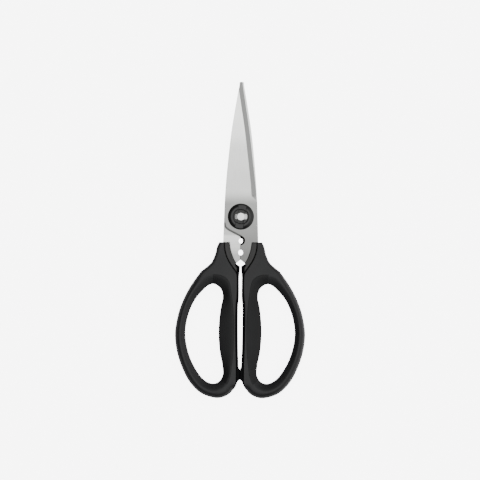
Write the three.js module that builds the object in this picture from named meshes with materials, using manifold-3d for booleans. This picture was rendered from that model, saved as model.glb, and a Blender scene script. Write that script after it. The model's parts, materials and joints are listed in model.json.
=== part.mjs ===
// Take-apart kitchen and poultry shears, 222 mm long, lying closed on their back.
//
// The shears are two halves that cross at one pivot. Each half is a steel blade with a tang,
// a hard core moulded round the tang, a soft grip moulded over the core, a softer finger pad
// in the loop and a cushion strip along the inner side. The front half carries the black
// keyhole boss, and the rear half carries the winged stud that the boss turns on.
//
// Units are millimetres. A half is drawn with the pivot axis at x = y = 0, the blades' meeting
// plane at z = 0, +Y towards the tips and its own handle on the +X side. The rear half is the
// same drawing turned half round about Y. The finished group has +Z up, its origin under the
// middle of its outline, on the plane that it lies on.

import * as THREE from "three";
import { mergeVertices } from "three/addons/utils/BufferGeometryUtils.js";
import Module from "manifold-3d";

const wasm = await Module();
wasm.setup();

// ---- driving dimensions ----
const tipY = 94.4; // pivot to the tip
const heelY = -127.1; // pivot to the end of the handles
const handleHalfThickness = 5.9;
const neckHalfThickness = 4.9;
const collarHalfThickness = 4.3;
const coreHalfThickness = 3.1;
const bladeThickness = 2.5;
const bladeGap = 0.1; // between the two blades' inner faces
const mouldGap = 0.12; // left between a moulded piece and what it holds

const bevelWidth = 3.2; // ground face along the cutting edge
const bevelStart = [0.3, 95.9]; // the grind comes in from past the tip
const bevelOvershoot = 1.3; // its slope runs on above the blade's face, so that the cut is clean
const edgeThickness = 0.35; // what the grind leaves at the cutting edge
const tipRadius = 1.15;
const tipMiddleX = -0.45;
const tipArc = { start: 0.93, sweep: 0.86, steps: 6 }; // start and sweep in half turns

const bossRadius = 9.15;
const bossHeight = 2.4;
const bossDishRadius = 5.0;
const bossDishTopRadius = 5.9;
const bossLedgeHeight = 1.05; // floor of the dish above the blade
const bossChamfer = 0.7;
const hubRadius = 6.0; // both plastic pivot pieces reach through their blade with a hub
const hubFlat = 5.2; // half width over a hub's two flats
const channelWidth = 5.6; // slot across the boss's rim
const channelDepth = 0.9;
const keyholeEndGap = 0.25; // between the keyhole and the stud's wings
const keyholeSideGap = 0.2;
const releaseAngle = 99; // opening at which the stud's wings meet the keyhole
const boreRadius = 3.08;

const studRadius = 3.0;
const wingLength = 9.3;
const wingWidth = 4.2;
const wingHeight = 0.85;
const headRim = { radius: 3.0, rise: 0.1 }; // the stud's round middle, above its wings
const headShoulder = { radius: 2.5, rise: 0.4 };
const headRise = 0.5;
const washerRadius = 4.5;
const washerThickness = 0.6;
const rivetHeight = 0.8;
const rivetRadius = 3.9;
const rivetFaceRadius = 3.0;
const rivetEdge = 0.35;
const capRound = { inset: 1.3, height: 1.1 }; // slope round the rear cap's face
const capRoom = 0.3; // round the washer, inside the rear cap

const outsideRound = 2.0; // how far the rounding reaches in from the handle's outside
const insideRound = 0.7; // and from its gap side
const roundDepth = 2.4;
const roundSteps = [
  { inset: 1, drop: 0 }, { inset: 0.42, drop: 0.2 }, { inset: 0.1, drop: 0.58 }, { inset: 0, drop: 1 },
];
const taperLength = 27; // the neck thins over this length
const stripHalfHeight = 4.4; // cushion strip, half its height
const stripRound = { size: 0.4, thickness: 0.4, segments: 2 };
const padDepth = 1.5; // finger pad

const roundSegments = 32;
const outlineSteps = 2; // straight steps between two outline points
const clear = 30; // reach of a cutter past what it cuts

// ---- outlines of one half, seen from the front ----
const spine = [
  [-1.55, 92.4], [-4.05, 78.0], [-6.8, 60.6], [-9.15, 39.6], [-10.9, 18.6], [-11.7, 0], [-11.85, -5],
];
const cuttingEdge = [
  [0.62, 92.6], [2.6, 79.5], [5.5, 60.6], [8.05, 39.6], [9.9, 23.5], [10.85, 14.2],
];
// Where the grind runs out above the pivot: along the edge, and along the bevel's inner line.
const bevelRunOut = [
  { edge: [11.05, 13.4], line: [8.1, 14.0] }, { edge: [11.2, 12.6], line: [9.4, 12.6] },
  { edge: [11.9, 11.3], line: [11.9, 11.3] },
];
const heel = [
  [-11.3, -7.4], [-9.4, -9.3], [-5.9, -11.3],
];
const seamX = -0.25; // the two tangs' inner edges run this far past each other
const seamTopY = -14.2;
const seamEndY = -30.0;
const vCut = [2.95, -32.6];
const herbHoles = [
  { y: -17.0, halfWidth: 1.4, halfHeight: 1.8 },
  { y: -25.15, halfWidth: 1.65, halfHeight: 1.95 },
];
// Ground countersink, in the front blade only.
const frontNotch = { y: -16.7, radius: 3.05, floorRadius: 1.55, depth: 2.2 };
const tang = [
  [4.5, -35.0], [4.6, -40.0], [4.9, -56.0], [8.0, -56.0], [8.8, -42.0], [11.4, -27.0], [12.3, -18.0],
  [11.75, 0], [11.4, 10.4],
];
const tangHoles = [
  [6.8, -43.5], [6.6, -51.5],
];
const tangHoleRadius = 1.3;

const neckTopY = -17.9;
const groove = [
  [11.65, neckTopY], [11.35, -23.0], [9.6, -28.9], [6.5, -34.3], [3.3, -38.8],
];
const collarInside = [
  [2.95, -32.6], [4.9, -29.0], [6.75, -23.6], [7.7, neckTopY],
];
const neckSide = [
  [15.0, neckTopY], [16.4, -20.7], [17.8, -26.2], [20.2, -31.8], [23.4, -35.0], [27.6, -38.3],
];
const loopSide = [
  [27.6, -38.3], [33.3, -46.2], [38.1, -54.4], [42.6, -65.4], [45.0, -76.0], [45.6, -83.0],
  [44.4, -93.6], [41.0, -104.6], [35.2, -115.8], [27.0, -123.8], [16.4, heelY], [11.0, -126.2],
  [7.0, -123.9], [4.2, -120.7],
];
const gripInside = [
  [4.2, -120.7], [2.8, -116.4], [2.6, -112.0], [2.7, -101.0], [3.15, -86.0], [3.2, -68.0],
  [2.95, -60.0], [2.5, -56.5], [2.5, -41.0], [3.3, -38.8],
];
// The cushion strip's gap side, with the bumper near its foot, and its back.
const stripGapSide = [
  [3.0, -119.1], [2.1, -117.0], [1.5, -115.4], [0.8, -114.5], [0.24, -113.6], [0.2, -110.8],
  [0.24, -107.8], [0.75, -105.9], [1.15, -99.0], [1.45, -87.0], [1.6, -72.0], [1.5, -62.0],
  [0.97, -57.0], [0.92, -41.4], [0.6, -38.6], [0.45, -36.4],
];
const stripBack = [
  [4.4, -118.6], [3.5, -115.6], [3.1, -112.0], [3.0, -105.4], [3.3, -99.0], [3.65, -87.0],
  [3.75, -72.0], [3.7, -62.0], [3.15, -57.0], [3.05, -42.0], [2.5, -38.9], [2.1, -37.0],
];
const stripHead = [
  [2.1, -35.5], [3.3, -34.0], [2.85, -32.8], [0.5, -34.8],
];

// The finger hole at mid thickness, and the crease where its flare meets the handle's face.
const fingerHole = [
  { hole: [19.2, -47.2], crease: [18.5, -40.9] }, { hole: [15.4, -48.8], crease: [12.6, -41.8] },
  { hole: [12.9, -52.2], crease: [8.6, -45.2] }, { hole: [12.3, -57.0], crease: [6.9, -52.5] },
  { hole: [13.5, -63.0], crease: [5.8, -61.0] }, { hole: [14.7, -72.5], crease: [4.9, -71.5] },
  { hole: [15.05, -83.0], crease: [4.7, -83.5] }, { hole: [14.1, -94.5], crease: [5.2, -95.0] },
  { hole: [12.3, -104.0], crease: [6.2, -105.0] }, { hole: [12.0, -111.0], crease: [8.0, -112.2] },
  { hole: [14.8, -115.6], crease: [12.3, -117.8] }, { hole: [19.5, -116.9], crease: [19.3, -120.0] },
  { hole: [25.3, -114.0], crease: [26.3, -116.3] }, { hole: [31.2, -106.3], crease: [33.0, -108.0] },
  { hole: [36.0, -95.5], crease: [38.0, -96.2] }, { hole: [38.25, -82.5], crease: [40.3, -82.3] },
  { hole: [36.4, -69.5], crease: [38.6, -68.5] }, { hole: [31.6, -58.3], crease: [33.6, -56.0] },
  { hole: [26.3, -51.8], crease: [27.0, -48.3] }, { hole: [22.6, -48.5], crease: [22.7, -43.2] },
];
// How far the flare has gone from hole to crease, at shares of the half thickness.
const flare = [
  { height: 0, share: 0 }, { height: 0.28, share: 0.03 }, { height: 0.47, share: 0.15 },
  { height: 1, share: 1 },
];
// The core's ring runs round the loop inside the grip, and its web holds the tang.
const coreRing = [
  [7.9, -44.0], [7.9, -56.0], [8.6, -70.0], [8.7, -86.0], [7.7, -100.0], [7.0, -112.0], [11.8, -120.4],
  [20.5, -122.0], [29.5, -117.4], [36.8, -106.5], [40.9, -94.0], [42.0, -82.5], [40.4, -69.0],
  [35.6, -56.5], [29.0, -47.0], [21.5, -42.3], [13.0, -41.6],
];
const coreRingWidth = 3.2;
const coreWeb = [
  [10.3, -26.0], [14.5, -38.5], [10.4, -45.0], [9.4, -50.0], [9.2, -57.6], [4.4, -57.6], [4.2, -43.0],
  [4.4, -34.0],
];
const padZone = [
  [3, -38], [19.5, -38], [20.5, -60], [16, -112], [9, -118], [3, -112],
];
const padRise = 0.35; // how far the pad's edge stands out past the crease
const collarInset = 0.3; // width of the groove between collar and grip
const collarStop = [
  [2.7, -38.9], [2.4, -37.2], [2.4, -35.7], [3.65, -34.2], [3.1, -32.9],
];

// ---- small tools ----
const bladeBack = bladeGap / 2;
const bladeFront = bladeBack + bladeThickness;

function points(list) {
  return list.map(([x, y]) => new THREE.Vector2(x, y));
}

// Points along a smooth curve through the listed ones, with a few steps between each two.
function smooth(list, steps = outlineSteps, closed = false) {
  const through = list.map(([x, y]) => new THREE.Vector3(x, y, 0));
  const path = new THREE.CatmullRomCurve3(through, closed, "centripetal");
  const spans = closed ? list.length : list.length - 1;
  const sampled = path.getPoints(spans * steps).map((p) => new THREE.Vector2(p.x, p.y));
  return closed ? sampled.slice(0, -1) : sampled;
}

function closedSmooth(list) {
  return tidy(smooth(list, outlineSteps, true));
}

// The outline with neighbouring repeats dropped, running anticlockwise.
function tidy(outline) {
  const kept = outline.filter((p, i) => p.distanceTo(outline[(i + 1) % outline.length]) > 1e-3);
  return THREE.ShapeUtils.isClockWise(kept) ? kept.reverse() : kept;
}

// An anticlockwise outline with each point moved outwards, all alike or each by its own distance.
function grown(outline, distance) {
  return outline.map((p, i) => {
    const reach = Array.isArray(distance) ? distance[i] : distance;
    const before = outline[(i + outline.length - 1) % outline.length];
    const after = outline[(i + 1) % outline.length];
    const a = p.clone().sub(before).normalize();
    const b = after.clone().sub(p).normalize();
    const normal = new THREE.Vector2(a.y + b.y, -a.x - b.x).normalize();
    const stretch = Math.min(1 / Math.max(normal.x * a.y - normal.y * a.x, 0.5), 2);
    return p.clone().addScaledVector(normal, stretch * reach);
  });
}

function solidOf(geometry) {
  geometry.deleteAttribute("normal");
  geometry.deleteAttribute("uv");
  const merged = mergeVertices(geometry, 1e-4);
  return new wasm.Manifold(new wasm.Mesh({
    numProp: 3,
    vertProperties: merged.attributes.position.array,
    triVerts: new Uint32Array(merged.index.array),
  }));
}

function geometryOf(solid) {
  const mesh = solid.getMesh();
  const geometry = new THREE.BufferGeometry();
  geometry.setAttribute("position", new THREE.BufferAttribute(mesh.vertProperties, 3));
  geometry.setIndex(new THREE.BufferAttribute(mesh.triVerts, 1));
  geometry.computeVertexNormals();
  return geometry;
}

function joined(solids) {
  return solids.reduce((all, solid) => all.add(solid));
}

// A flat plate between two heights, with its long edges rounded over.
function plate(outline, bottom, top, round = { size: 0, thickness: 0, segments: 1 }) {
  const geometry = new THREE.ExtrudeGeometry(new THREE.Shape(outline), {
    depth: top - bottom - 2 * round.thickness,
    bevelEnabled: round.size > 0,
    bevelSize: round.size,
    bevelOffset: -round.size,
    bevelThickness: round.thickness,
    bevelSegments: round.segments,
  });
  return solidOf(geometry.translate(0, 0, bottom + round.thickness));
}

// A solid through level outlines that all have the same number of points.
function stack(levels) {
  const count = levels[0].outline.length;
  const position = levels.flatMap(({ outline, z }) => outline.flatMap((p) => [p.x, p.y, z]));
  const index = [];
  for (let level = 0; level < levels.length - 1; level += 1) {
    for (let i = 0; i < count; i += 1) {
      const a = level * count + i;
      const b = level * count + ((i + 1) % count);
      index.push(a, b, b + count, a, b + count, a + count);
    }
  }
  const last = (levels.length - 1) * count;
  for (const [a, b, c] of THREE.ShapeUtils.triangulateShape(levels[0].outline, [])) {
    index.push(a, c, b);
  }
  for (const [a, b, c] of THREE.ShapeUtils.triangulateShape(levels.at(-1).outline, [])) {
    index.push(last + a, last + b, last + c);
  }
  const geometry = new THREE.BufferGeometry();
  geometry.setAttribute("position", new THREE.Float32BufferAttribute(position, 3));
  geometry.setIndex(index);
  return solidOf(geometry);
}

function disc(radius, bottom, top, x = 0, y = 0, topRadius = radius) {
  const geometry = new THREE.CylinderGeometry(topRadius, radius, top - bottom, roundSegments);
  return solidOf(geometry.rotateX(Math.PI / 2).translate(x, y, (bottom + top) / 2));
}

function block(width, length, bottom, top, turn = 0) {
  const geometry = new THREE.BoxGeometry(width, length, top - bottom);
  return solidOf(geometry.translate(0, 0, (bottom + top) / 2).rotateZ(turn));
}

// A bar with round ends, the section of the stud's wings and of the keyhole.
function roundedBar(length, width, bottom, top, turn) {
  return disc(length / 2, bottom, top).intersect(block(clear, width, bottom, top, turn));
}

// ---- blades ----
function bladeOutline() {
  const tip = [];
  const middleY = tipY - tipRadius;
  for (let i = 1; i < tipArc.steps; i += 1) {
    const angle = Math.PI * (tipArc.start - tipArc.sweep * (i / tipArc.steps));
    tip.push([tipMiddleX + tipRadius * Math.cos(angle), middleY + tipRadius * Math.sin(angle)]);
  }
  return tidy([
    ...smooth(spine).reverse(),
    ...points(tip),
    ...smooth(cuttingEdge),
    ...points(tang).reverse(),
    ...points([vCut, [seamX, seamEndY], [seamX, seamTopY]]),
    ...smooth(heel).reverse(),
  ]);
}

function tangPegs(radius) {
  return joined(tangHoles.map(([x, y]) => disc(radius, -clear, clear, x, y)));
}

// The blade before grinding. Grown a little, it is the slot that the handle leaves for it.
function bladeBlank(grow) {
  const body = plate(grown(bladeOutline(), grow), bladeBack - grow, bladeFront + grow);
  return body.subtract(tangPegs(tangHoleRadius - grow));
}

function herbHole({ y, halfWidth, halfHeight }) {
  const geometry = new THREE.CylinderGeometry(1, 1, clear, roundSegments);
  return solidOf(geometry.rotateX(Math.PI / 2).scale(halfWidth, halfHeight, 1).translate(0, y, 0));
}

// Everything outside a face that slopes from the cutting edge up to the bevel's inner line.
function bevelCutter() {
  const ground = [bevelStart, ...cuttingEdge];
  const edge = [...ground, ...bevelRunOut.map((station) => station.edge)];
  const line = [
    ...ground.map(([x, y]) => [x - bevelWidth, y]),
    ...bevelRunOut.map((station) => station.line),
  ];
  const outside = points([[clear, edge.at(-1)[1]], [clear, bevelStart[1]]]);
  const low = [...smooth(edge), ...outside];
  const high = [...smooth(line), ...outside];
  const bottom = bladeBack + edgeThickness;
  const past = low.map((p, i) => p.clone().lerp(high[i], bevelOvershoot));
  const levels = [
    { outline: low, z: bottom },
    { outline: past, z: bottom + bevelOvershoot * (bladeFront - bottom) },
  ];
  const clockwise = THREE.ShapeUtils.isClockWise(low);
  return stack(levels.map(({ outline, z }) => ({ outline: clockwise ? outline.reverse() : outline, z })));
}

function groundBlade() {
  return bladeBlank(0).subtract(bevelCutter()).subtract(joined(herbHoles.map(herbHole)));
}

// The hub of a pivot piece, round with two flats. Grown a little, it is the hole in the blade.
function hub(grow, bottom, top) {
  return disc(hubRadius + grow, bottom, top).intersect(block(2 * (hubFlat + grow), clear, bottom, top));
}

function frontBlade() {
  const floor = bladeFront - frontNotch.depth;
  const top = bladeFront + mouldGap;
  const notch = disc(frontNotch.floorRadius, floor, top, seamX, frontNotch.y, frontNotch.radius);
  return groundBlade().subtract(hub(mouldGap, -clear, clear)).subtract(notch);
}

function rearBlade() {
  return groundBlade().subtract(hub(mouldGap, -clear, clear));
}

// ---- handles ----
// The flared finger hole as a plug. It widens from mid thickness to both faces of the handle.
function fingerPlug(grow, creaseGrow) {
  const hole = grown(closedSmooth(fingerHole.map((station) => station.hole)), grow);
  const crease = grown(closedSmooth(fingerHole.map((station) => station.crease)), creaseGrow);
  const levelAt = ({ height, share }) => ({
    outline: hole.map((p, i) => p.clone().lerp(crease[i], share)),
    z: height * handleHalfThickness,
  });
  const upper = flare.map(levelAt);
  const top = { outline: upper.at(-1).outline, z: handleHalfThickness + 1 };
  const front = [...upper, top];
  const back = front.slice(1).map(({ outline, z }) => ({ outline, z: -z })).reverse();
  return stack([...back, ...front]);
}

// Two wedges that thin the neck towards the blade, front and back.
function neckTaper() {
  const angle = Math.atan((handleHalfThickness - neckHalfThickness) / taperLength);
  const wedge = (side) => {
    const geometry = new THREE.BoxGeometry(2 * clear, 2 * taperLength, clear);
    geometry.translate(0, taperLength, (side * clear) / 2).rotateX(-side * angle);
    return solidOf(geometry.translate(0, neckTopY - taperLength, side * handleHalfThickness));
  };
  return wedge(1).add(wedge(-1));
}

// The grip's full shape: well rounded round the outside, less so along the gap and the collar.
function handleBody() {
  const outside = [...smooth(neckSide), ...smooth(loopSide).slice(1)];
  const inside = [...smooth(gripInside).slice(1), ...smooth(groove).reverse().slice(1)];
  const outline = [...outside, ...inside].reverse();
  const rounds = [...outside.map(() => outsideRound), ...inside.map(() => insideRound)].reverse();
  const front = roundSteps.map(({ inset, drop }) => ({
    outline: grown(outline, rounds.map((round) => -inset * round)),
    z: handleHalfThickness - drop * roundDepth,
  }));
  const back = front.map(({ outline: level, z }) => ({ outline: level, z: -z }));
  return stack([...back, ...front.reverse()]).subtract(neckTaper()).subtract(fingerPlug(0, 0));
}

function padLayer(grow) {
  const zone = plate(grown(tidy(points(padZone)), grow), -clear, clear);
  return fingerPlug(padDepth + grow, padRise + grow).intersect(zone);
}

function collarOutline(grow) {
  const outer = smooth(groove).map((p) => p.clone().add(new THREE.Vector2(grow - collarInset, 0)));
  return tidy([...outer, ...points(collarStop), ...smooth(collarInside)]);
}

// The hard core: a collar that shows beside the blade, and a skeleton inside the whole loop.
function coreBlank(grow) {
  const half = coreHalfThickness + grow;
  const collar = plate(collarOutline(grow), -collarHalfThickness - grow, collarHalfThickness + grow);
  const web = plate(grown(tidy(points(coreWeb)), grow), -half, half);
  const path = closedSmooth(coreRing);
  const reach = coreRingWidth / 2 + grow;
  const ring = plate(grown(path, reach), -half, half).subtract(plate(grown(path, -reach), -clear, clear));
  return joined([collar, web, ring]);
}

function handleCore() {
  return coreBlank(0).subtract(bladeBlank(mouldGap));
}

function stripOutline(grow) {
  const gapSide = smooth(stripGapSide);
  return grown(tidy([...gapSide, ...points(stripHead).reverse(), ...smooth(stripBack).reverse()]), grow);
}

function cushionStrip(grow) {
  const half = stripHalfHeight + grow;
  return plate(stripOutline(grow), -half, half, stripRound);
}

function grip() {
  return handleBody()
    .subtract(padLayer(mouldGap))
    .subtract(coreBlank(mouldGap))
    .subtract(bladeBlank(mouldGap))
    .subtract(cushionStrip(mouldGap));
}

function fingerPad() {
  return handleBody().intersect(padLayer(0));
}

// ---- pivot ----
const bossBottom = bladeFront + bladeGap / 2;
const hubEnd = bladeGap * 1.5;
const ledge = bladeFront + bossLedgeHeight;
const wingBottom = ledge + mouldGap;

function frontBoss() {
  const keyTurn = THREE.MathUtils.degToRad(180 - releaseAngle);
  const top = bladeFront + bossHeight;
  const flange = disc(bossRadius, bossBottom, top - bossChamfer).add(
    disc(bossRadius, top - bossChamfer, top, 0, 0, bossRadius - bossChamfer),
  );
  const dish = disc(bossDishRadius, ledge, top + mouldGap, 0, 0, bossDishTopRadius);
  const channel = block(clear, channelWidth, top - channelDepth, clear, keyTurn);
  const keyLength = wingLength + 2 * keyholeEndGap;
  const keyhole = roundedBar(keyLength, wingWidth + 2 * keyholeSideGap, -clear, clear, keyTurn);
  return joined([flange, hub(0, hubEnd, bossBottom)])
    .subtract(dish)
    .subtract(channel)
    .subtract(keyhole)
    .subtract(disc(boreRadius, -clear, clear));
}

function pivotStud() {
  const back = -(bladeFront + washerThickness + 2 * mouldGap);
  const headTop = wingBottom + wingHeight;
  const profile = [
    [0, back - rivetHeight], [rivetFaceRadius, back - rivetHeight], [rivetRadius, back - rivetEdge],
    [rivetRadius, back], [studRadius, back], [headRim.radius, headTop + headRim.rise],
    [headShoulder.radius, headTop + headShoulder.rise], [0, headTop + headRise],
  ];
  const geometry = new THREE.LatheGeometry(points(profile), roundSegments);
  const shank = solidOf(geometry.rotateX(Math.PI / 2));
  return shank.add(roundedBar(wingLength, wingWidth, wingBottom, headTop, 0));
}

// A flat washer under the stud's riveted end.
function studWasher() {
  const bottom = -(bladeFront + mouldGap + washerThickness);
  return disc(washerRadius, bottom, bottom + washerThickness).subtract(
    disc(studRadius + mouldGap, -clear, clear),
  );
}

// A cap moulded over the riveted end. It stands level with the handles' backs.
function rearCap() {
  const bottom = -handleHalfThickness;
  const shoulder = bottom + capRound.height;
  const shell = disc(bossRadius, shoulder, -bossBottom).add(
    disc(bossRadius - capRound.inset, bottom, shoulder, 0, 0, bossRadius),
  );
  const cavityFloor = -(bladeFront + washerThickness + rivetHeight + 4 * mouldGap);
  return joined([shell, hub(0, -bossBottom, -hubEnd)])
    .subtract(disc(washerRadius + capRoom, cavityFloor, -bossBottom))
    .subtract(disc(studRadius + mouldGap / 2, cavityFloor, clear));
}

// ---- materials and assembly ----
function material(color, roughness, metalness = 0) {
  return new THREE.MeshStandardMaterial({ color, roughness, metalness });
}
const bladeSteel = material(0xc9cac6, 0.34, 1);
const studSteel = material(0xd2d2d0, 0.28, 1);
const hardPlastic = material(0x47474b, 0.5);
const softGrip = material(0x3f3f43, 0.62);
const softPad = material(0x2b2b2d, 0.8);
const cushion = material(0x101011, 0.85);
const blackPlastic = material(0x2c2c2c, 0.32);

function mesh(name, solid, look) {
  const made = new THREE.Mesh(geometryOf(solid), look);
  made.name = name;
  return made;
}

function handleMeshes(side) {
  return [
    mesh(`${side}_handle_core`, handleCore(), hardPlastic),
    mesh(`${side}_grip`, grip(), softGrip),
    mesh(`${side}_finger_pad`, fingerPad(), softPad),
    mesh(`${side}_cushion_strip`, cushionStrip(0), cushion),
  ];
}

const frontHalf = new THREE.Group();
frontHalf.add(
  mesh("front_blade", frontBlade(), bladeSteel),
  mesh("front_pivot_boss", frontBoss(), blackPlastic),
  ...handleMeshes("right"),
);

const rearHalf = new THREE.Group();
const rearTurned = new THREE.Group();
rearTurned.rotation.y = Math.PI;
rearTurned.add(mesh("rear_blade", rearBlade(), bladeSteel), ...handleMeshes("left"));
rearHalf.add(
  rearTurned,
  mesh("pivot_stud", pivotStud(), studSteel),
  mesh("stud_washer", studWasher(), studSteel),
  mesh("rear_pivot_cap", rearCap(), blackPlastic),
);

const shears = new THREE.Group();
shears.add(frontHalf, rearHalf);
shears.position.set(0, -(tipY + heelY) / 2, handleHalfThickness);

const part = new THREE.Group();
part.add(shears);

export default part;
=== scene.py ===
"""Looks and studio for the take-apart kitchen and poultry shears.

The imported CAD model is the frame. Each half is drawn in millimetres in its own axes, as seen from the
front: the pivot axis at x = y = 0, the plane where the blades meet at z = 0, +Y towards the tips and the
handle on the +X side. The rear half is the same drawing turned half round about Y.
"""

import json
import math

import bmesh
import bpy
import numpy as np
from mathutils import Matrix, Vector
from mathutils.geometry import delaunay_2d_cdt


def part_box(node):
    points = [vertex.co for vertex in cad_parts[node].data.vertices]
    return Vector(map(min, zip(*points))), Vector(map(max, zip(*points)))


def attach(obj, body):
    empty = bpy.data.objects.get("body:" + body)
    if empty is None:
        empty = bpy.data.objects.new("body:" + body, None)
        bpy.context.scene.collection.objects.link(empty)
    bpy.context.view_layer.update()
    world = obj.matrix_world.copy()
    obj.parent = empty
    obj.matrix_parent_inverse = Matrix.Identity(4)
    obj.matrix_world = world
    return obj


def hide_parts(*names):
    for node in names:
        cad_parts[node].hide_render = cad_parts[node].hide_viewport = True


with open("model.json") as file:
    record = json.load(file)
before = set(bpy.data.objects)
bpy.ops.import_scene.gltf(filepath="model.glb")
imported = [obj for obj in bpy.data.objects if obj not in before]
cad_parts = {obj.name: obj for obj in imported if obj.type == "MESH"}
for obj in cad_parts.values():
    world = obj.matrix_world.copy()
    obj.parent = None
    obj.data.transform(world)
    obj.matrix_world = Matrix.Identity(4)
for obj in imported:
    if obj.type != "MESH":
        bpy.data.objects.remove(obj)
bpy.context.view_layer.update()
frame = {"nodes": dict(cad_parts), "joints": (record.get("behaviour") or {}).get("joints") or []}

MM = 0.001
pivot_joint = next(j for j in frame["joints"] if j["name"] == "blade_pivot")
PIVOT = Vector(pivot_joint["pos_m"])
KEY_TURN = math.radians(180 - pivot_joint["range_deg"][1])


def span(node, axis):
    """The lowest and highest place of a CAD node along an axis, in mm from the pivot's middle."""
    low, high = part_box(node)
    return (low[axis] - PIVOT[axis]) / MM, (high[axis] - PIVOT[axis]) / MM


HANDLE_HALF = span("right_grip", 2)[1]
COLLAR_HALF = span("right_handle_core", 2)[1]
STRIP_HALF = span("right_cushion_strip", 2)[1]
BLADE_BACK, BLADE_FRONT = span("front_blade", 2)
BLADE_TIP = span("front_blade", 1)[1]
HEEL_Y = span("right_grip", 1)[0]
NECK_TOP = span("right_grip", 1)[1]
BOSS_RADIUS = span("front_pivot_boss", 0)[1]
BOSS_TOP = span("front_pivot_boss", 2)[1]
CAP_BOTTOM, CAP_TOP = span("rear_pivot_cap", 2)
STUD_BACK, STUD_TOP = span("pivot_stud", 2)
WING_REACH = span("pivot_stud", 0)[1]

NECK_HALF = 4.9
LEDGE = BLADE_FRONT + 1.05
BORE_RADIUS = 3.08
STUD_RADIUS = 3.0
WING_WIDTH = 4.2
WING_BOTTOM = LEDGE + 0.12
WING_TOP = WING_BOTTOM + 0.85
BEVEL_WIDTH = 3.2
EDGE_THICKNESS = 0.35
HUB_RADIUS, HUB_FLAT, HUB_GAP = 6.0, 5.2, 0.1
HUB_END = 0.15
SLOT_HALF = 2.75
SLOT_WALLS = (-3.0, -2.87, -SLOT_HALF, SLOT_HALF, 2.87, 3.0)
SLOT_DEPTH = 1.0
DISH_RADIUS = 5.1
LOBE_START, LOBE_SLOPE = 5.9, 0.55  # where the boss's ring starts to fall away, and how steeply
KEY_END_GAP, KEY_SIDE_GAP = 0.25, 0.4  # at each end of the wings, and over both their sides
BOSS_EDGE = 0.9
WING_SLOPE_START, WING_SLOPE = 3.2, 0.42
HEAD_RISE = 0.34
LEAST_WING = 0.05
RIVET_RADIUS, RIVET_FACE, RIVET_HEIGHT = 3.9, 3.0, 0.8
CAP_ROUND = 1.0
CAP_CAVITY = 4.8
FIT = 0.05  # between a pivot piece and the blade's face or the stud
TIP_RADIUS = 1.15
TIP_MIDDLE_X = -0.45
GRIND_START = (0.3, BLADE_TIP + 1.5)  # the grind comes in from past the tip
RIM_BREAK, RIM_WIDTH = 0.09, 0.14  # broken edge round a blade: its depth and width
LEAST_THICKNESS = 0.3

# ---- outlines of one half, in mm ----
SPINE = [
    (-1.55, 92.4), (-4.05, 78.0), (-6.8, 60.6), (-9.15, 39.6), (-10.9, 18.6), (-11.7, 0), (-11.85, -5),
]
CUTTING_EDGE = [(0.62, 92.6), (2.6, 79.5), (5.5, 60.6), (8.05, 39.6), (9.9, 23.5), (10.85, 14.2)]
RUN_OUT_EDGE = [(11.05, 13.4), (11.2, 12.6), (11.7, 11.4)]
RUN_OUT_LINE = [(8.1, 14.0), (9.4, 12.6), (11.7, 11.4)]
HEEL = [(-11.3, -7.4), (-9.4, -9.3), (-5.9, -11.3)]
SEAM_X, SEAM_TOP, SEAM_END = -0.25, -14.2, -30.0
V_CUT = (2.95, -32.6)
HERB_HOLES = [(-17.0, 1.4, 1.8), (-25.15, 1.65, 1.95)]
COUNTERSINK_Y, COUNTERSINK_RADIUS, COUNTERSINK_SLOPE = -16.7, 3.3, 1.29
TANG = [(4.5, -35.0), (4.6, -44.0), (8.9, -44.0), (11.4, -27.0), (12.3, -18.0), (11.75, 0), (11.4, 10.4)]
GROOVE = [(11.65, NECK_TOP), (11.35, -23.0), (9.6, -28.9), (6.5, -34.3), (3.3, -38.8)]
COLLAR_INSIDE = [(2.95, -32.6), (4.9, -29.0), (6.75, -23.6), (7.7, NECK_TOP)]
COLLAR_STOP = [(3.3, -38.8), (2.45, -38.9), (2.2, -37.2), (2.2, -35.6), (3.3, -34.1), (2.95, -32.6)]
NECK_SIDE = [(15.0, NECK_TOP), (16.4, -20.7), (17.8, -26.2), (20.2, -31.8), (23.4, -35.0), (27.6, -38.3)]
LOOP_SIDE = [
    (27.6, -38.3), (33.3, -46.2), (38.1, -54.4), (42.6, -65.4), (45.0, -76.0), (45.6, -83.0), (44.4, -93.6),
    (41.0, -104.6), (35.2, -115.8), (27.0, -123.8), (16.4, HEEL_Y), (11.0, -126.2), (7.0, -123.9),
    (4.2, -120.7),
]
GRIP_INSIDE = [
    (4.2, -120.7), (2.8, -116.4), (2.6, -112.0), (2.7, -101.0), (3.15, -86.0), (3.2, -68.0), (2.95, -60.0),
    (2.5, -56.5), (2.5, -41.0), (3.3, -38.8),
]
# The last points take the near-black strip up beside the collar's gap side, where it paints the shade of the
# collar's steep side wall.
STRIP_GAP_SIDE = [
    (3.0, -119.1), (2.1, -117.0), (1.5, -115.4), (0.8, -114.5), (0, -113.9), (0, -110.8), (0, -107.3),
    (0.7, -105.9), (1.15, -99.0), (1.45, -87.0), (1.6, -72.0), (1.5, -62.0), (0.97, -57.0),
    (0.92, -41.4), (0.6, -38.6), (0.45, -36.4), (0.5, -34.8),
]
FINGER_HOLE = [
    (19.2, -47.2), (15.4, -48.8), (12.9, -52.2), (12.3, -57.0), (13.5, -63.0), (14.7, -72.5), (15.05, -83.0),
    (14.1, -94.5), (12.3, -104.0), (12.0, -111.0), (14.8, -115.6), (19.5, -116.9), (25.3, -114.0),
    (31.2, -106.3), (36.0, -95.5), (38.25, -82.5), (36.4, -69.5), (31.6, -58.3), (26.3, -51.8), (22.6, -48.5),
]
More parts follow.
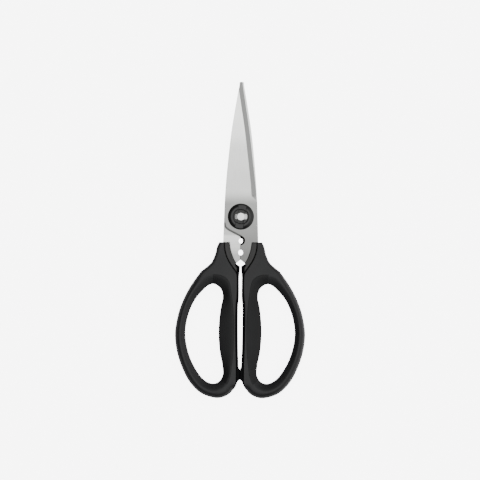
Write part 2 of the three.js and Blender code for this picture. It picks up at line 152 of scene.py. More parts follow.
CREASE = [
    (18.5, -40.9), (12.6, -41.8), (8.6, -45.2), (6.9, -52.5), (5.8, -61.0), (4.9, -71.5), (4.7, -83.5),
    (5.2, -95.0), (6.2, -105.0), (7.6, -113.2), (11.3, -119.6), (18.9, -122.6), (27.5, -118.9),
    (34.6, -109.6), (39.8, -97.0), (42.2, -82.2), (40.4, -67.6), (35.6, -55.0), (28.8, -46.4), (23.6, -41.6),
]
PAD_ZONE = [(3, -38), (19.5, -38), (20.5, -60), (16, -112), (9, -118), (3, -112)]


# ---- plane curves ----
def smooth(points, step=0.7, closed=False):
    """Points about a step apart on the centripetal curve through the given ones."""
    p = np.array(points, float)
    if closed:
        padded = np.vstack([p[-1:], p, p[:2]])
    else:
        padded = np.vstack([2 * p[0] - p[1], p, 2 * p[-1] - p[-2]])
    out = []
    for a, b, c, d in zip(padded, padded[1:], padded[2:], padded[3:]):
        before, here, after = (math.sqrt(np.linalg.norm(v)) for v in (b - a, c - b, d - c))
        start = ((b - a) / before - (c - a) / (before + here) + (c - b) / here) * here
        end = ((c - b) / here - (d - b) / (here + after) + (d - c) / after) * here
        count = max(1, round(np.linalg.norm(c - b) / step))
        t = (np.arange(count) / count)[:, None]
        out.append(
            (2 * t**3 - 3 * t**2 + 1) * b + (t**3 - 2 * t**2 + t) * start
            + (3 * t**2 - 2 * t**3) * c + (t**3 - t**2) * end
        )
    if not closed:
        out.append(p[-1:])
    return np.vstack(out)


def straight(points, step=0.7):
    """Points about a step apart along straight lines, without the last one."""
    p = np.array(points, float)
    out = []
    for a, b in zip(p, p[1:]):
        count = max(1, round(np.linalg.norm(b - a) / step))
        out.append(a + (b - a) * (np.arange(count) / count)[:, None])
    return np.vstack(out)


def arc(centre, radii, start, end, count):
    """Points on an ellipse's arc between two angles in degrees."""
    angle = np.radians(np.linspace(start, end, count))
    return np.column_stack([centre[0] + radii[0] * np.cos(angle), centre[1] + radii[1] * np.sin(angle)])


def chained(*lines):
    """One closed outline from open stretches, anticlockwise and without repeats."""
    p = np.vstack(lines)
    keep = np.linalg.norm(p - np.roll(p, -1, 0), axis=1) > 0.02
    p = p[keep]
    x, y = p.T
    area = np.sum(x * np.roll(y, -1) - np.roll(x, -1) * y)
    return p if area > 0 else p[::-1]


def distance(p, line, closed=False):
    """How far each point is from a line of points."""
    a = line if closed else line[:-1]
    b = np.roll(line, -1, 0) if closed else line[1:]
    run = b - a
    length = np.maximum((run**2).sum(1), 1e-12)
    out = np.empty(len(p))
    for i in range(0, len(p), 2000):
        q = p[i : i + 2000, None, :]
        t = np.clip(((q - a) * run).sum(2) / length, 0, 1)
        out[i : i + 2000] = np.sqrt((((q - a) - t[..., None] * run) ** 2).sum(2).min(1))
    return out


def inside(p, loop):
    """Which points lie inside a closed outline."""
    a, b = loop, np.roll(loop, -1, 0)
    out = np.empty(len(p), bool)
    for i in range(0, len(p), 2000):
        x, y = p[i : i + 2000, 0:1], p[i : i + 2000, 1:2]
        crosses = (a[:, 1] > y) != (b[:, 1] > y)
        rise = np.where(b[:, 1] == a[:, 1], 1e-12, b[:, 1] - a[:, 1])
        at = a[:, 0] + (y - a[:, 1]) * (b[:, 0] - a[:, 0]) / rise
        out[i : i + 2000] = (crosses & (x < at)).sum(1) % 2 == 1
    return out


def offset(loop, by):
    """A closed anticlockwise outline with each point moved outwards."""
    before, after = loop - np.roll(loop, 1, 0), np.roll(loop, -1, 0) - loop
    before /= np.linalg.norm(before, axis=1)[:, None]
    after /= np.linalg.norm(after, axis=1)[:, None]
    tangent = before + after
    normal = np.column_stack([tangent[:, 1], -tangent[:, 0]])
    normal /= np.maximum(np.linalg.norm(normal, axis=1), 1e-9)[:, None]
    lean = np.clip((normal * np.column_stack([before[:, 1], -before[:, 0]])).sum(1), 0.5, 1)
    return loop + normal * (by / lean)[:, None]


def beside(line, by):
    """An open line moved sideways, to its right as it runs."""
    tangent = np.gradient(line, axis=0)
    normal = np.column_stack([tangent[:, 1], -tangent[:, 0]])
    return line + by * normal / np.linalg.norm(normal, axis=1)[:, None]


def soft_min(a, b, k):
    """The lower of two heights, with the line where they meet rounded over about k."""
    h = np.clip(0.5 + 0.5 * (b - a) / k, 0, 1)
    return b + (a - b) * h - k * h * (1 - h)


def step_up(x, low, high):
    t = np.clip((x - low) / (high - low), 0, 1)
    return t * t * (3 - 2 * t)


def rounded(d, radius, low, high):
    """Height over an edge of quarter-ellipse section, at a distance in from the edge."""
    t = 1 - np.clip(d / radius, 0, 1)
    return low + (high - low) * np.sqrt(np.maximum(1 - t * t, 0))


# ---- slabs: closed pieces with a height map on the front and one on the back ----
class Plan:
    """Triangles over the area between closed outlines, finer towards its edges, parted along cuts."""

    def __init__(self, outer, holes=(), rings=(), grid=1.2, lines=(), cuts=()):
        self.loops = [outer, *holes]
        points = [np.vstack([*self.loops, *cuts])]
        for ring in rings:
            for loop, side in zip(self.loops, [-1, *[1] * len(holes)]):
                moved = offset(loop, side * ring)
                points.append(moved[self.clearance(moved) > 0.9 * ring])
        for line in lines:
            points.append(line[self.clearance(line) > 0.12])
        for cut in cuts:
            points[1:] = [p[distance(p, cut) > 0.12] for p in points[1:]]
        low, high = outer.min(0), outer.max(0)
        xs, ys = np.arange(low[0], high[0], grid), np.arange(low[1], high[1], grid * 0.87)
        mesh = np.array([(x + (j % 2) * grid / 2, y) for j, y in enumerate(ys) for x in xs])
        mesh = mesh[self.clearance(mesh) > max(rings, default=0) + 0.4 * grid]
        for line in (*lines, *cuts):
            mesh = mesh[distance(mesh, line) > 0.5 * grid] if len(mesh) else mesh
        points.append(mesh)
        edges, start = [], 0
        for loop in self.loops:
            edges += [(start + i, start + (i + 1) % len(loop)) for i in range(len(loop))]
            start += len(loop)
        for cut in cuts:
            edges += [(start + i, start + i + 1) for i in range(len(cut) - 1)]
            start += len(cut)
        flat = [Vector(p) for p in np.vstack(points)]
        verts, _, faces, _, _, _ = delaunay_2d_cdt(flat, edges, [], 0, 1e-5)
        self.points = np.array([v[:] for v in verts])
        faces = np.array([f for f in faces if len(f) == 3])
        self.faces = faces[self.clearance(self.points[faces].mean(1)) > 1e-4]

    def clearance(self, p):
        """Distance in from the nearest outline, and below zero outside the area."""
        d = np.min([distance(p, loop, closed=True) for loop in self.loops], axis=0)
        within = inside(p, self.loops[0])
        for hole in self.loops[1:]:
            within &= ~inside(p, hole)
        return np.where(within, d, -d)


def slab(plan, front, back, area=None):
    """Vertices and faces of the piece between two heights over a plan, or over an area of it."""
    faces = plan.faces
    if area is not None:
        faces = faces[area]
    used, compact = np.unique(faces, return_inverse=True)
    faces = compact.reshape(-1, 3)
    n = len(used)
    p = plan.points[used]
    verts = np.vstack([np.column_stack([p, front[used]]), np.column_stack([p, back[used]])])
    directed = {(a, b) for f in faces.tolist() for a, b in zip(f, f[1:] + f[:1])}
    walls = [(a, a + n, b + n, b) for a, b in sorted(directed) if (b, a) not in directed]
    return verts, [*map(tuple, faces), *map(tuple, faces[:, ::-1] + n), *walls]


def lathe(profile, segments=96):
    """Vertices and faces of a closed turned piece. The profile runs from axis to axis, bottom first."""
    verts, faces = [], []
    angles = np.linspace(0, 2 * math.pi, segments, endpoint=False)
    rows = []
    for radius, z in profile:
        if radius < 1e-6:
            rows.append([len(verts)])
            verts.append((0, 0, z))
        else:
            rows.append(list(range(len(verts), len(verts) + segments)))
            verts += [(radius * math.cos(a), radius * math.sin(a), z) for a in angles]
    for low, high in zip(rows, rows[1:]):
        for i in range(segments):
            j = (i + 1) % segments
            if len(low) == 1:
                faces.append((low[0], high[j], high[i]))
            elif len(high) == 1:
                faces.append((low[i], low[j], high[0]))
            else:
                faces.append((low[i], low[j], high[j], high[i]))
    return np.array(verts, float), faces


# ---- making objects ----
def piece(name, body, node, shapes, materials, rear=False, sharp=32, paint=None):
    """One visual piece from lists of vertices and faces in mm, riding on a body in a node's place."""
    verts, faces, start = [], [], 0
    for v, f in shapes:
        verts.append(v)
        faces += [tuple(i + start for i in face) for face in f]
        start += len(v)
    local = np.vstack(verts)
    half = local * (-1, 1, -1) if rear else local
    mesh = bpy.data.meshes.new(name)
    mesh.from_pydata((half * MM + np.array(PIVOT)).tolist(), [], faces)
    work = bmesh.new()
    work.from_mesh(mesh)
    bmesh.ops.recalc_face_normals(work, faces=work.faces)
    work.to_mesh(mesh)
    work.free()
    for material in materials:
        mesh.materials.append(material)
    if paint:
        centres = np.array([local[list(p.vertices)].mean(0) for p in mesh.polygons])
        mesh.polygons.foreach_set("material_index", paint(centres).astype(np.int32))
    mesh.shade_smooth()
    mesh.set_sharp_from_angle(angle=math.radians(sharp))
    made = bpy.data.objects.new(name, mesh)
    bpy.context.scene.collection.objects.link(made)
    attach(made, body)
    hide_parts(node)
    return made


# ---- materials ----
def fill_ramp(node, stops):
    """Grey stops from pairs of a place from 0 to 1 and a level. The first lies at 0, the last at 1."""
    for place, _ in stops[1:-1]:
        node.color_ramp.elements.new(place)
    for element, (_, level) in zip(node.color_ramp.elements, stops):
        element.color = (level, level, level, 1)


class Look:
    """A Principled material with short calls for its procedural detail."""

    def __init__(self, name, color, roughness, metallic=0.0, **sockets):
        self.material = bpy.data.materials.new(name)
        self.material.use_nodes = True
        tree = self.material.node_tree
        self.nodes, self.links = tree.nodes, tree.links
        self.shader = next(n for n in self.nodes if n.type == "BSDF_PRINCIPLED")
        self.color = color
        self.shader.inputs["Base Color"].default_value = (*color, 1)
        self.shader.inputs["Roughness"].default_value = roughness
        self.shader.inputs["Metallic"].default_value = metallic
        for socket, value in sockets.items():
            self.shader.inputs[socket.replace("_", " ")].default_value = value
        self.place = self.nodes.new("ShaderNodeTexCoord").outputs["Object"]
        self.normal = None

    def noise(self, scale, stretch=(1, 1, 1), detail=4.0, turn=0.0):
        mapping = self.nodes.new("ShaderNodeMapping")
        mapping.inputs["Scale"].default_value = stretch
        mapping.inputs["Rotation"].default_value = (0, 0, turn)
        self.links.new(self.place, mapping.inputs["Vector"])
        noise = self.nodes.new("ShaderNodeTexNoise")
        noise.inputs["Scale"].default_value = scale
        noise.inputs["Detail"].default_value = detail
        self.links.new(mapping.outputs["Vector"], noise.inputs["Vector"])
        return noise.outputs["Fac"]

    def ranged(self, value, low, high, start=0.3, end=0.7):
        node = self.nodes.new("ShaderNodeMapRange")
        node.inputs["From Min"].default_value = start
        node.inputs["From Max"].default_value = end
        node.inputs["To Min"].default_value = low
        node.inputs["To Max"].default_value = high
        self.links.new(value, node.inputs["Value"])
        return node.outputs["Result"]

    def tint(self, value, dark, light):
        """The colour varies between two shares of the material's own."""
        ramp = self.nodes.new("ShaderNodeValToRGB")
        for element, share, at in zip(ramp.color_ramp.elements, (dark, light), (0.3, 0.7)):
            element.color = (*(min(1, c * share) for c in self.color), 1)
            element.position = at
        self.links.new(value, ramp.inputs["Fac"])
        self.links.new(ramp.outputs["Color"], self.shader.inputs["Base Color"])

    def rough(self, value, low, high):
        self.links.new(self.ranged(value, low, high), self.shader.inputs["Roughness"])

    def shade(self, stops):
        """The colour changes along Y: pairs of a place in mm from the pivot and a share of it.

        It stands in for reflections that fade from the tips to the handles, and isn't in real steel.
        """
        parts = self.nodes.new("ShaderNodeSeparateXYZ")
        self.links.new(self.place, parts.inputs["Vector"])
        start, end = stops[0][0], stops[-1][0]
        along = self.ranged(parts.outputs["Y"], 0, 1, PIVOT.y + start * MM, PIVOT.y + end * MM)
        ramp = self.nodes.new("ShaderNodeValToRGB")
        ramp.color_ramp.interpolation = "EASE"
        fill_ramp(ramp, [((place - start) / (end - start), share) for place, share in stops])
        self.links.new(along, ramp.inputs["Fac"])
        mix = self.nodes.new("ShaderNodeMix")
        mix.data_type = "RGBA"
        mix.blend_type = "MULTIPLY"
        mix.inputs["Factor"].default_value = 1
        color_a, color_b = (socket for socket in mix.inputs if socket.type == "RGBA")
        self.links.new(self.shader.inputs["Base Color"].links[0].from_socket, color_a)
        self.links.new(ramp.outputs["Color"], color_b)
        product = next(socket for socket in mix.outputs if socket.type == "RGBA")
        self.links.new(product, self.shader.inputs["Base Color"])

    def bump(self, value, strength, depth):
        node = self.nodes.new("ShaderNodeBump")
        node.inputs["Strength"].default_value = strength
        node.inputs["Distance"].default_value = depth
        self.links.new(value, node.inputs["Height"])
        if self.normal:
            self.links.new(self.normal, node.inputs["Normal"])
        self.normal = node.outputs["Normal"]
        self.links.new(self.normal, self.shader.inputs["Normal"])


def steel(name, color, roughness, grain, turn=0.0, shares=None):
    """Ground steel: fine parallel scratches along the grain, a faint cloudiness, and, given shares, painted
    light and shade along Y.
    """
    look = Look(name, color, roughness, metallic=1.0)
    scratches = look.noise(1.0, tuple(g * 1000 for g in grain), detail=6, turn=turn)
    clouds = look.noise(45, detail=3)
    look.tint(clouds, 0.95, 1.04)
    if shares:
        look.shade(shares)
    look.rough(scratches, roughness - 0.05, roughness + 0.07)
    look.bump(scratches, 0.25, 0.00002)
    return look.material


def moulded(name, color, roughness, grain, wear=0.12, gloss=0.5, relief=0.35):
    """A moulded surface: fine spark-eroded texture, and slightly uneven sheen and colour."""
    look = Look(name, color, roughness, Specular_IOR_Level=gloss)
    fine = look.noise(grain, detail=3)
    broad = look.noise(60, detail=4)
    look.tint(broad, 1 - wear, 1 + wear)
    look.rough(broad, roughness - 0.05, roughness + 0.05)
    look.bump(fine, relief, 0.00006)
    return look.material


# The shares along Y paint light and shade into the blade face's colour: it darkens from the tips towards the
# handles.
face_steel = steel(
    "ground_blade_face", (0.90, 0.905, 0.88), 0.26, (8, 0.12, 4),
    shares=[(-28, 0.14), (-20, 0.18), (-8, 0.23), (8, 0.26), (19, 0.61), (46, 0.70), (61, 0.92), (72, 1.0)],
)
# The bevel keeps its own grain, and its much darker colour paints the shade that its tilt shows.
bevel_steel = steel("ground_bevel", (0.28, 0.282, 0.276), 0.30, (0.25, 6, 4), turn=0.15)
# The inner face's shares paint light and shade too: lighter about 14 mm below the pivot, darker from 12 to 4
# mm below it and towards the handle, and full from 12 mm above it.
inner_steel = steel(
    "ground_inner_face", (0.64, 0.644, 0.63), 0.24, (0.15, 7, 4),
    shares=[(-28, 0.5), (-20, 0.82), (-14, 0.94), (-12, 0.62), (-4, 0.6), (12, 1.0)],
)
# Near-black steel for the countersink: a painted shadow of its wall.
painted_notch_shadow = steel("notch_painted_shadow", (0.03, 0.033, 0.03), 0.45, (4, 4, 4))
stud_steel = steel("turned_stud_steel", (0.60, 0.60, 0.593), 0.20, (3, 3, 3))
collar_plastic = moulded("hard_collar_plastic", (0.013, 0.0125, 0.012), 0.40, 4000, gloss=0.35)
grip_rubber = moulded("soft_touch_grip", (0.0058, 0.0058, 0.0066), 0.44, 5200, gloss=0.33)
# The pad's rubber is darker than the grip's, which paints part of the shade on the scooped slope round the
# finger hole.
pad_rubber = moulded("soft_finger_pad", (0.0035, 0.0035, 0.004), 0.47, 3200, gloss=0.25)
strip_rubber = moulded("black_cushion", (0.002, 0.002, 0.0025), 0.60, 3000, gloss=0.06)
boss_plastic = moulded("black_boss_plastic", (0.004, 0.004, 0.004), 0.26, 2500, gloss=0.40, relief=0.1)

# ---- blades ----
GROUND = [GRIND_START, *CUTTING_EDGE]
EDGE_LINE = smooth([*GROUND, *RUN_OUT_EDGE], 0.5)
BEVEL_LINE = smooth([*((x - BEVEL_WIDTH, y) for x, y in GROUND), *RUN_OUT_LINE], 0.5)
BEVEL_AREA = np.vstack([EDGE_LINE + (0.6, 0), BEVEL_LINE[::-1]])
HEEL_LINE = smooth([SPINE[-1], *HEEL, (SEAM_X, SEAM_TOP)], 0.5)
HEEL_CHAMFER, HEEL_DROP = 1.35, 0.36
SEAM_CHAMFER = 0.28


def herb_bite(centre_y, half_width, half_height):
    """The part of a herb hole that one half holds, from its upper end to its lower end."""
    lean = math.degrees(math.asin(SEAM_X / half_width))
    return arc((0, centre_y), (half_width, half_height), 90 - lean, -90 + lean, 18)


def blade_outline():
    tip = arc((TIP_MIDDLE_X, BLADE_TIP - TIP_RADIUS), (TIP_RADIUS, TIP_RADIUS), 168, 12, 9)
    seam = [(SEAM_X, SEAM_TOP)]
    stretches = []
    for centre_y, half_width, half_height in HERB_HOLES:
        bite = herb_bite(centre_y, half_width, half_height)
        stretches += [straight([*seam[-1:], bite[0]], 0.5), bite]
        seam = [bite[-1]]
    stretches += [
        straight([seam[-1], (SEAM_X, SEAM_END), V_CUT, *TANG], 0.6),
    ]
    return chained(
        smooth(SPINE, 0.6)[::-1], tip, smooth(CUTTING_EDGE, 0.6), np.array(RUN_OUT_EDGE[:2]),
        np.vstack(stretches)[::-1], HEEL_LINE[::-1],
    )


def hub_outline(gap):
    """Round with two flats: the hub of a pivot piece, and with a gap the hole that it sits in."""
    angle = np.linspace(0, 2 * math.pi, 96, endpoint=False)
    radius = np.minimum(HUB_RADIUS + gap, (HUB_FLAT + gap) / np.maximum(np.abs(np.cos(angle)), 1e-6))
    return np.column_stack([radius * np.cos(angle), radius * np.sin(angle)])


def blade(name, body, node, rear):
    lines = [BEVEL_LINE, BEVEL_LINE + (1.0, 0), BEVEL_LINE + (2.0, 0)]
    seam = straight([(SEAM_X, SEAM_TOP), (SEAM_X, SEAM_END), V_CUT], 0.5)
    if not rear:
        centre = (SEAM_X, COUNTERSINK_Y)
        lines += [arc(centre, (r, r), 100, -100, 30) for r in (COUNTERSINK_RADIUS, 2.8, 2.3, 1.8)]
        lines += [beside(HEEL_LINE, -HEEL_CHAMFER), beside(seam, -SEAM_CHAMFER)]
    plan = Plan(
        blade_outline(), [hub_outline(HUB_GAP)], rings=(0.08, 0.2, 0.45, 0.8, 1.3), grid=2.2, lines=lines,
    )
    p = plan.points
    ground = inside(p, BEVEL_AREA)
    to_edge, to_line = distance(p, EDGE_LINE), distance(p, BEVEL_LINE)
    share = np.where(ground, to_edge / np.maximum(to_edge + to_line, 1e-9), 1)
    low = BLADE_BACK + EDGE_THICKNESS
    front = low + (BLADE_FRONT - low) * share
    rim = np.min([distance(p, loop, closed=True) for loop in plan.loops], axis=0)
    front -= RIM_BREAK * (1 - np.clip(rim / RIM_WIDTH, 0, 1)) ** 1.5 * (front > low + LEAST_THICKNESS)
    if not rear:
        heel = BLADE_FRONT - HEEL_DROP * np.maximum(HEEL_CHAMFER - distance(p, HEEL_LINE), 0)
        edge = BLADE_FRONT - np.maximum(SEAM_CHAMFER - distance(p, seam), 0)
        sink = np.hypot(p[:, 0] - SEAM_X, p[:, 1] - COUNTERSINK_Y)
        cone = BLADE_FRONT - np.maximum(COUNTERSINK_RADIUS - sink, 0) * COUNTERSINK_SLOPE
        front = np.maximum(np.min([front, heel, edge, cone], axis=0), BLADE_BACK + LEAST_THICKNESS)
    back = np.full(len(p), BLADE_BACK)

    def paint(centres):
        mark = np.zeros(len(centres))
        x, y, z = centres.T
        bevel = inside(centres[:, :2], BEVEL_AREA) & (z > BLADE_BACK + 0.2)
        mark[bevel] = 1
        mark[z < BLADE_BACK + 0.01] = 2
        # Slot 3, the countersink's faces, is a painted shadow in near-black steel.
        if not rear:
            near = np.hypot(x - SEAM_X, y - COUNTERSINK_Y) < COUNTERSINK_RADIUS - 0.02
            mark[near & (z > BLADE_BACK + 0.02)] = 3
        return mark

    return piece(
        name, body, node, [slab(plan, front, back)],
        [face_steel, bevel_steel, inner_steel, painted_notch_shadow], rear=rear, sharp=16, paint=paint,
    )


# ---- handles ----
OUTSIDE_ROUND, NECK_ROUND = 5.2, 2.6  # rounding round the loop's outside, and what it loses at the neck
OUTSIDE_LOW, NECK_LOW = 0.8, 1.4  # half thickness at the very edge of the loop, and what the neck adds
GAP_SIDE_ROUND, TOP_ROUND = 0.9, 0.7
LIP_ROUND, LIP_LOW, LIP_RISE = 2.3, 0.7, 0.6  # the finger hole's lip
SCOOP_FLOOR = 0.50  # share of the half thickness that is left at the hole
GROOVE_DEPTH, GROOVE_HALF = 0.10, 0.25  # parting groove between grip and pad
STRIP_ROUND = 0.6


def tapered_half(p):
    """Half the handle's thickness: it thins towards the neck."""
    return HANDLE_HALF - (HANDLE_HALF - NECK_HALF) * step_up(p[:, 1], -52, NECK_TOP + 4)


LOOP_EDGE = np.vstack([smooth(NECK_SIDE, 0.7), smooth(LOOP_SIDE, 0.7)[1:]])
INNER_EDGE = np.vstack([smooth(GRIP_INSIDE, 0.7), smooth(GROOVE, 0.7)[::-1][1:]])
NECK_EDGE = np.array([GROOVE[0], NECK_SIDE[0]], float)
HOLE_EDGE = chained(smooth(FINGER_HOLE, 0.7, closed=True))
CREASE_LINE = chained(smooth(CREASE, 0.7, closed=True))
GRIP_EDGE = chained(LOOP_EDGE, INNER_EDGE[1:], straight([GROOVE[0], NECK_SIDE[0]], 0.6))


def handle_height(p):
    """Half thickness of the sculpted handle at each point, before the parting lines."""
    half = tapered_half(p)
    to_loop, to_inner = distance(p, LOOP_EDGE), distance(p, INNER_EDGE)
    to_neck, to_hole = distance(p, NECK_EDGE), distance(p, HOLE_EDGE, closed=True)
    to_crease = distance(p, CREASE_LINE, closed=True)
    neck = step_up(p[:, 1], -50, -36)
    outside = rounded(to_loop, OUTSIDE_ROUND - NECK_ROUND * neck, OUTSIDE_LOW + NECK_LOW * neck, half)
    gap_side = rounded(to_inner, GAP_SIDE_ROUND, half - GAP_SIDE_ROUND, half)
    top_side = rounded(to_neck, TOP_ROUND, half - TOP_ROUND, half)
    scooped = inside(p, CREASE_LINE)
    share = to_hole / np.maximum(to_hole + to_crease, 1e-9)
    floor = SCOOP_FLOOR * half + (1 - SCOOP_FLOOR) * half * share**0.9
    scoop = np.where(scooped, floor, half + 0.30 * to_crease)
    lip = rounded(to_hole, LIP_ROUND, LIP_LOW, half + LIP_RISE)
    height = soft_min(half, scoop, 0.30)
    height = soft_min(height, lip, 0.9)
    for side, k in ((outside, 1.1), (gap_side, 0.12), (top_side, 0.12)):
        height = soft_min(height, side, k)
    return height


def pad_line():
    """The parting line of the finger pad, from the finger hole's edge out to the crease and back."""
    zone = np.array(PAD_ZONE, float)
    edge = offset(CREASE_LINE, 0.25)
    within = inside(edge, zone)
    turned = np.roll(edge, -int(np.flatnonzero(within & ~np.roll(within, 1))[0]), 0)
    run = turned[: int(np.flatnonzero(~inside(turned, zone))[0])]
    ends = [HOLE_EDGE[np.argmin(np.linalg.norm(HOLE_EDGE - end, axis=1))] for end in (run[0], run[-1])]
    return np.vstack([straight([ends[0], run[0]]), run[:-1], straight([run[-1], ends[1]]), ends[1:]])


GROOVE_LINE = smooth(GROOVE, 0.7)
COLLAR_END = straight(COLLAR_STOP, 0.5)
PAD_LINE = pad_line()
HANDLE_PLAN = Plan(
    GRIP_EDGE, [HOLE_EDGE], rings=(0.05, 0.16, 0.36, 0.65, 1.05, 1.6, 2.3, 3.1, 4.0), grid=1.3,
    lines=[
        *(offset(CREASE_LINE, gap) for gap in (0.7, 0, -0.5, -1.1)),
        *(beside(PAD_LINE, gap) for gap in (0.2, -0.2)),
    ],
    cuts=[PAD_LINE],
)
HANDLE_HEIGHT = handle_height(HANDLE_PLAN.points)
HANDLE_HEIGHT -= (
    GROOVE_DEPTH * (1 - np.clip(distance(HANDLE_PLAN.points, PAD_LINE) / GROOVE_HALF, 0, 1))
    * (1 - step_up(distance(HANDLE_PLAN.points, CREASE_LINE, closed=True), 0.5, 2.5))
)
IN_PAD = inside(HANDLE_PLAN.points[HANDLE_PLAN.faces].mean(1), PAD_LINE)


def grip(name, body, node, rear):
    shape = slab(HANDLE_PLAN, HANDLE_HEIGHT, -HANDLE_HEIGHT, ~IN_PAD)
    return piece(name, body, node, [shape], [grip_rubber], rear=rear, sharp=50)


def finger_pad(name, body, node, rear):
    shape = slab(HANDLE_PLAN, HANDLE_HEIGHT, -HANDLE_HEIGHT, IN_PAD)
    return piece(name, body, node, [shape], [pad_rubber], rear=rear, sharp=50)


def collar(name, body, node, rear):
    outline = chained(GROOVE_LINE, COLLAR_END, smooth(COLLAR_INSIDE, 0.6))
    plan = Plan(outline, rings=(0.05, 0.16, 0.36, 0.65, 1.0), grid=1.0)
    p = plan.points
    rim = distance(p, outline, closed=True)
    crown = COLLAR_HALF - 0.35 * (1 - step_up(distance(p, smooth(COLLAR_INSIDE)), 0, 3.5))
    height = soft_min(crown, rounded(rim, 0.9, COLLAR_HALF - 1.5, COLLAR_HALF), 0.15)
    shape = slab(plan, height, -height)
    return piece(name, body, node, [shape], [collar_plastic], rear=rear, sharp=50)


def cushion_strip(name, body, node, rear):
    outline = chained(
        smooth(STRIP_GAP_SIDE, 0.6), COLLAR_END[::-1], smooth(GRIP_INSIDE, 0.7)[::-1],
    )
    plan = Plan(outline, rings=(0.06, 0.2, 0.45), grid=0.9)
    rim = distance(plan.points, outline, closed=True)
    height = rounded(rim, STRIP_ROUND, STRIP_HALF - STRIP_ROUND, STRIP_HALF)
    shape = slab(plan, height, -height)
    return piece(name, body, node, [shape], [strip_rubber], rear=rear, sharp=50)


# ---- pivot ----
def polar_loop(radius_at, count=128):
    angle = np.linspace(0, 2 * math.pi, count, endpoint=False)
    radius = radius_at(angle)
    return np.column_stack([radius * np.cos(angle), radius * np.sin(angle)])


def bar_radius(angle, reach, width, bore, turn=0.0):
    """Polar radius of a bore with a round-ended bar across it."""
    across = np.abs(np.sin(angle - turn))
    return np.maximum(bore, np.minimum(reach, width / 2 / np.maximum(across, 1e-6)))


def boss():
    reach, width = WING_REACH + KEY_END_GAP, WING_WIDTH + KEY_SIDE_GAP
    keyhole = polar_loop(lambda a: bar_radius(a, reach, width, BORE_RADIUS, KEY_TURN))
    outer = polar_loop(lambda a: np.full(len(a), BOSS_RADIUS), 144)
    lines = [polar_loop(lambda a, r=r: np.full(len(a), r), 120) for r in (5.05, 5.3, 5.7, 6.0, 6.3)]
    along = np.linspace(-BOSS_RADIUS, BOSS_RADIUS, 60)
    cos, sin = math.cos(KEY_TURN), math.sin(KEY_TURN)
    lines += [np.column_stack([along * cos - at * sin, along * sin + at * cos]) for at in SLOT_WALLS]
    plan = Plan(outer, [keyhole], rings=(0.06, 0.18, 0.36, 0.6, 0.9), grid=0.32, lines=lines)
    p = plan.points
    radius = np.hypot(*p.T)
    side = np.abs(p[:, 0] * sin - p[:, 1] * cos)
    lobes = BOSS_TOP - LOBE_SLOPE * np.maximum(radius - LOBE_START, 0)
    edge = BLADE_FRONT + FIT + rounded(BOSS_RADIUS - radius, BOSS_EDGE, 0.45, 1.75)
    dish = LEDGE + np.maximum(radius - DISH_RADIUS, 0) * 1.9
    height = soft_min(soft_min(lobes, dish, 0.25), edge, 0.25)
    slot = BOSS_TOP - SLOT_DEPTH - 0.10 * np.maximum(radius - 5.5, 0)
    wall = slot + np.maximum(side - SLOT_HALF, 0) * 3.0
    height = soft_min(height, wall, 0.12)
    mouth = distance(p, keyhole, closed=True)
    height -= 0.18 * (1 - np.clip(mouth / 0.25, 0, 1)) ** 1.5
    back = np.full(len(p), BLADE_FRONT + FIT)
    return piece(
        "keyhole_boss", "front_half", "front_pivot_boss",
        [slab(plan, height, back), hub(HUB_END, BLADE_FRONT + 0.03, keyhole)], [boss_plastic], sharp=40,
    )


def hub(low, high, bore):
    """The part of a pivot piece that reaches through its blade."""
    plan = Plan(hub_outline(0), [bore], rings=(0.15,), grid=0.8)
    return slab(plan, np.full(len(plan.points), high), np.full(len(plan.points), low))


def stud():
    outline = polar_loop(lambda a: bar_radius(a, WING_REACH, WING_WIDTH, STUD_RADIUS))
    plan = Plan(outline, rings=(0.06, 0.16, 0.3, 0.5), grid=0.3)
    p = plan.points
    radius = np.hypot(*p.T)
    rim = distance(p, outline, closed=True)
    head = HEAD_RISE * (1 - step_up(radius, 2.5, 3.05))
    flat = WING_TOP + head - WING_SLOPE * np.maximum(radius - WING_SLOPE_START, 0)
    height = np.minimum(flat, STUD_TOP) - 0.22 * (1 - np.clip(rim / 0.3, 0, 1)) ** 1.6
    height = np.maximum(height, WING_BOTTOM + LEAST_WING)
    wings = slab(plan, height, np.full(len(p), WING_BOTTOM))
    shank_top = WING_BOTTOM - 0.005
    profile = [
        (0, STUD_BACK), (RIVET_FACE, STUD_BACK), (3.6, STUD_BACK + 0.15), (RIVET_RADIUS, STUD_BACK + 0.5),
        (RIVET_RADIUS, STUD_BACK + RIVET_HEIGHT), (STUD_RADIUS, STUD_BACK + RIVET_HEIGHT + 0.02),
        (STUD_RADIUS, shank_top), (0, shank_top),
    ]
    shapes = [wings, lathe(profile)]
    return piece("winged_stud", "rear_half", "pivot_stud", shapes, [stud_steel], sharp=40)


def rear_cap():
    """The domed cap behind the pivot, with a shallow ring turned in its face."""
    profile = [(0, CAP_BOTTOM), (4.6, CAP_BOTTOM)]
    profile += [(5.0, CAP_BOTTOM + 0.18), (5.4, CAP_BOTTOM + 0.18), (5.8, CAP_BOTTOM)]
    corner = BOSS_RADIUS - CAP_ROUND
    for step in range(9):
        turn = math.radians(90 * step / 8)
        profile.append((corner + CAP_ROUND * math.sin(turn), CAP_BOTTOM + CAP_ROUND * (1 - math.cos(turn))))
    floor = STUD_BACK - 0.1
    profile += [(BOSS_RADIUS, CAP_TOP), (CAP_CAVITY, CAP_TOP), (CAP_CAVITY, floor), (0, floor)]
    bore = polar_loop(lambda a: np.full(len(a), STUD_RADIUS + FIT), 48)
    return piece(
        "domed_rear_cap", "rear_half", "rear_pivot_cap",
        [lathe(profile), hub(CAP_TOP + 0.02, -HUB_END, bore)], [boss_plastic], sharp=40,
    )


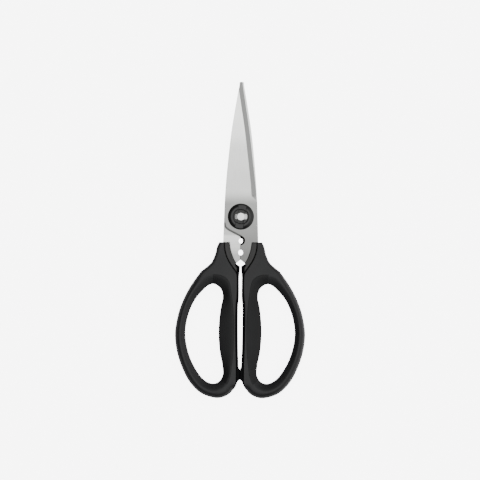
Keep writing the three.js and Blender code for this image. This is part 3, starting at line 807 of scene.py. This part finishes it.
# ---- the shears ----
for side, half_body, is_rear, own_blade in (
    ("right", "front_half", False, "front"), ("left", "rear_half", True, "rear"),
):
    blade(own_blade + "_ground_blade", half_body, own_blade + "_blade", is_rear)
    grip(side + "_sculpted_grip", half_body, side + "_grip", is_rear)
    finger_pad(side + "_soft_pad", half_body, side + "_finger_pad", is_rear)
    collar(side + "_collar", half_body, side + "_handle_core", is_rear)
    cushion_strip(side + "_cushion", half_body, side + "_cushion_strip", is_rear)
boss()
stud()
rear_cap()
washer = frame["nodes"]["stud_washer"]
washer.data.materials.clear()
washer.data.materials.append(stud_steel)

# ---- floor, light and camera ----
TENT = [(-1, 1.2), (-0.1, 1.1), (0.2, 0.09), (0.6, 0.10), (0.85, 1.2), (1, 2.8)]  # height, level
RIGHT_WALL = 1.4
WALL_START, WALL_END = 0.35, 0.85  # where it comes in and is full, as the direction's share of +X
FLOOR_REACH, FLOOR_GLOW = 3.0, 6.5
FLOOR_Z = -5e-5
CAMERA_X = -0.0005
PHOTO_FIELD = 0.336  # width that the picture takes in at the object, m
CAMERA_DISTANCE = 2.0
ROLL = math.radians(0.4)


def add_floor():
    mesh = bpy.data.meshes.new("floor")
    corners = [(-1, -1), (1, -1), (1, 1), (-1, 1)]
    mesh.from_pydata([(x * FLOOR_REACH, y * FLOOR_REACH, FLOOR_Z) for x, y in corners], [], [(0, 1, 2, 3)])
    paper = Look("white_paper", (0.93, 0.93, 0.93), 0.9)
    paper.shader.inputs["Emission Color"].default_value = (1, 1, 1, 1)
    paper.shader.inputs["Emission Strength"].default_value = FLOOR_GLOW
    mesh.materials.append(paper.material)
    floor = bpy.data.objects.new("floor", mesh)
    bpy.context.scene.collection.objects.link(floor)
    floor.visible_diffuse = False
    floor.visible_glossy = False


def add_world():
    """A light tent: bright overhead and below, dim at the sides, and lighter to the right."""
    world = bpy.data.worlds.new("studio")
    world.use_nodes = True
    nodes, links = world.node_tree.nodes, world.node_tree.links
    background = next(n for n in nodes if n.type == "BACKGROUND")
    direction = nodes.new("ShaderNodeTexCoord").outputs["Generated"]
    parts = nodes.new("ShaderNodeSeparateXYZ")
    links.new(direction, parts.inputs["Vector"])
    lift = nodes.new("ShaderNodeMapRange")
    lift.inputs["From Min"].default_value = -1
    links.new(parts.outputs["Z"], lift.inputs["Value"])
    height = nodes.new("ShaderNodeValToRGB")
    fill_ramp(height, [((z + 1) / 2, level) for z, level in TENT])
    links.new(lift.outputs["Result"], height.inputs["Fac"])
    right = nodes.new("ShaderNodeMapRange")
    right.inputs["From Min"].default_value = WALL_START
    right.inputs["From Max"].default_value = WALL_END
    right.inputs["To Max"].default_value = RIGHT_WALL
    links.new(parts.outputs["X"], right.inputs["Value"])
    total = nodes.new("ShaderNodeMath")
    total.operation = "ADD"
    links.new(height.outputs["Color"], total.inputs[0])
    links.new(right.outputs["Result"], total.inputs[1])
    links.new(total.outputs["Value"], background.inputs["Strength"])
    background.inputs["Color"].default_value = (1, 1, 1, 1)
    bpy.context.scene.world = world


def add_camera():
    data = bpy.data.cameras.new("camera")
    data.lens = data.sensor_width * (CAMERA_DISTANCE - PIVOT.z) / PHOTO_FIELD
    camera = bpy.data.objects.new("camera", data)
    camera.location = (CAMERA_X, 0.0, CAMERA_DISTANCE)
    camera.rotation_euler = (0, 0, ROLL)
    bpy.context.scene.collection.objects.link(camera)
    bpy.context.scene.camera = camera


add_floor()
add_world()
add_camera()
